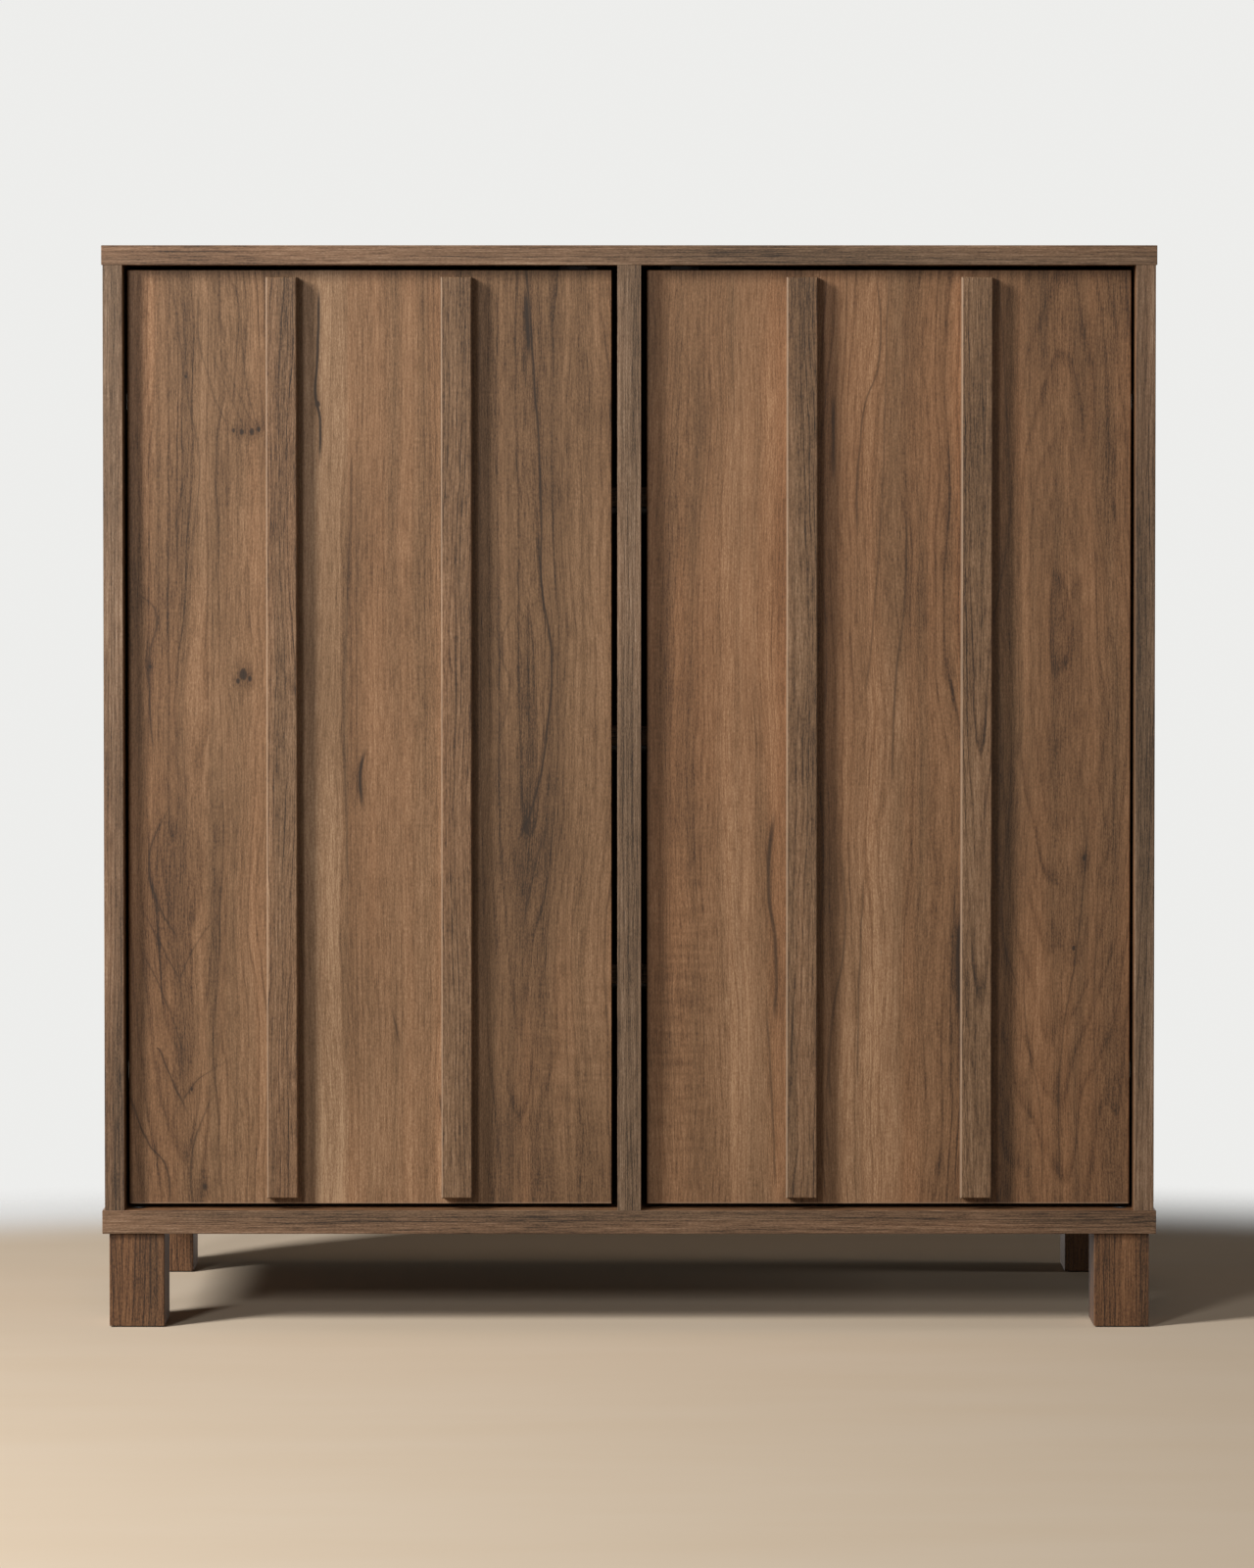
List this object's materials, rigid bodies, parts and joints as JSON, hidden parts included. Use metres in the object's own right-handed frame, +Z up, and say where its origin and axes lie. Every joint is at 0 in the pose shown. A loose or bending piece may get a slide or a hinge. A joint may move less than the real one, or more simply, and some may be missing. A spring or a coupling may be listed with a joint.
{
  "type": "shoe cabinet",
  "caption": "Low walnut-look shoe cabinet on block legs, with recessed battened doors that hinge at the sides, a centre divider, push latches and adjustable shelves.",
  "frame": {"origin": "on the floor, under the middle of the cabinet's footprint", "axes": "+Z up, +X to the right of someone facing the doors, +Y from the doors to the back"},
  "size_m": [0.804, 0.35, 0.825],
  "materials": {
    "carcass_board": "matt printed walnut grain",
    "door_board": "matt printed walnut grain, grain upright",
    "batten_wood": "matt embossed walnut grain, grain upright",
    "leg_wood": "matt printed walnut grain, grain upright",
    "shelf_board": "matt printed walnut grain",
    "back_board": "thin printed fibreboard",
    "dowel_beech": "plain turned beech",
    "felt_pad": "dense dark felt",
    "hinge_steel": "nickel-plated pressed steel",
    "screw_zinc": "bright zinc plating",
    "cam_zinc": "cast zinc alloy",
    "latch_plastic": "dark brown moulded plastic",
    "plunger_plastic": "pale moulded plastic",
    "spring_steel": "drawn spring wire",
    "strike_steel": "zinc-plated stamped disc"
  },
  "bodies": {
    "carcass": {"back_panel": "back_board", "base_panel": "carcass_board", "base_screws": "screw_zinc", "cam_bolts": "screw_zinc", "cam_locks": "cam_zinc", "centre_divider": "carcass_board", "dowels": "dowel_beech", "hinge_arm_left_lower": "hinge_steel", "hinge_arm_left_upper": "hinge_steel", "hinge_arm_right_lower": "hinge_steel", "hinge_arm_right_upper": "hinge_steel", "hinge_arm_screws": "hinge_steel", "hinge_plate_left_lower": "hinge_steel", "hinge_plate_left_upper": "hinge_steel", "hinge_plate_right_lower": "hinge_steel", "hinge_plate_right_upper": "hinge_steel", "hinge_plate_screws": "hinge_steel", "latch_housing_left": "latch_plastic", "latch_housing_right": "latch_plastic", "latch_screws": "screw_zinc", "latch_spring_left": "spring_steel", "latch_spring_right": "spring_steel", "leg_back_left": "leg_wood", "leg_back_right": "leg_wood", "leg_front_left": "leg_wood", "leg_front_right": "leg_wood", "leg_pads": "felt_pad", "leg_screws": "screw_zinc", "shelf_left_1": "shelf_board", "shelf_left_2": "shelf_board", "shelf_left_3": "shelf_board", "shelf_pins": "screw_zinc", "shelf_right_1": "shelf_board", "shelf_right_2": "shelf_board", "shelf_right_3": "shelf_board", "side_panel_left": "carcass_board", "side_panel_right": "carcass_board", "top_panel": "carcass_board"},
    "door_left": {"door_panel_left": "door_board", "batten_left_outer": "batten_wood", "batten_left_inner": "batten_wood", "batten_screws_left": "screw_zinc", "hinge_pins_left": "hinge_steel", "hinge_cup_screws_left": "hinge_steel", "latch_strike_left": "strike_steel", "hinge_cup_left_lower": "hinge_steel", "hinge_cup_left_upper": "hinge_steel"},
    "door_right": {"door_panel_right": "door_board", "batten_right_outer": "batten_wood", "batten_right_inner": "batten_wood", "batten_screws_right": "screw_zinc", "hinge_pins_right": "hinge_steel", "hinge_cup_screws_right": "hinge_steel", "latch_strike_right": "strike_steel", "hinge_cup_right_lower": "hinge_steel", "hinge_cup_right_upper": "hinge_steel"},
    "latch_plunger_left": {"latch_plunger_left": "plunger_plastic"},
    "latch_plunger_right": {"latch_plunger_right": "plunger_plastic"}
  },
  "joints": [
    {"name": "door_left_hinge", "type": "hinge", "parent": "carcass", "child": "door_left", "pos_m": [-0.3705, -0.1548, 0.4125], "axis": [0, 0, -1], "range_deg": [0, 100]},
    {"name": "door_right_hinge", "type": "hinge", "parent": "carcass", "child": "door_right", "pos_m": [0.3705, -0.1548, 0.4125], "axis": [0, 0, 1], "range_deg": [0, 100]},
    {"name": "latch_left_press", "type": "slide", "parent": "carcass", "child": "latch_plunger_left", "axis": [0, 1, 0], "range_m": [0, 0.0025], "stiffness_N_per_m": 200, "deforming": ["latch_spring_left"]},
    {"name": "latch_right_press", "type": "slide", "parent": "carcass", "child": "latch_plunger_right", "axis": [0, 1, 0], "range_m": [0, 0.0025], "stiffness_N_per_m": 200, "deforming": ["latch_spring_right"]}
  ]
}
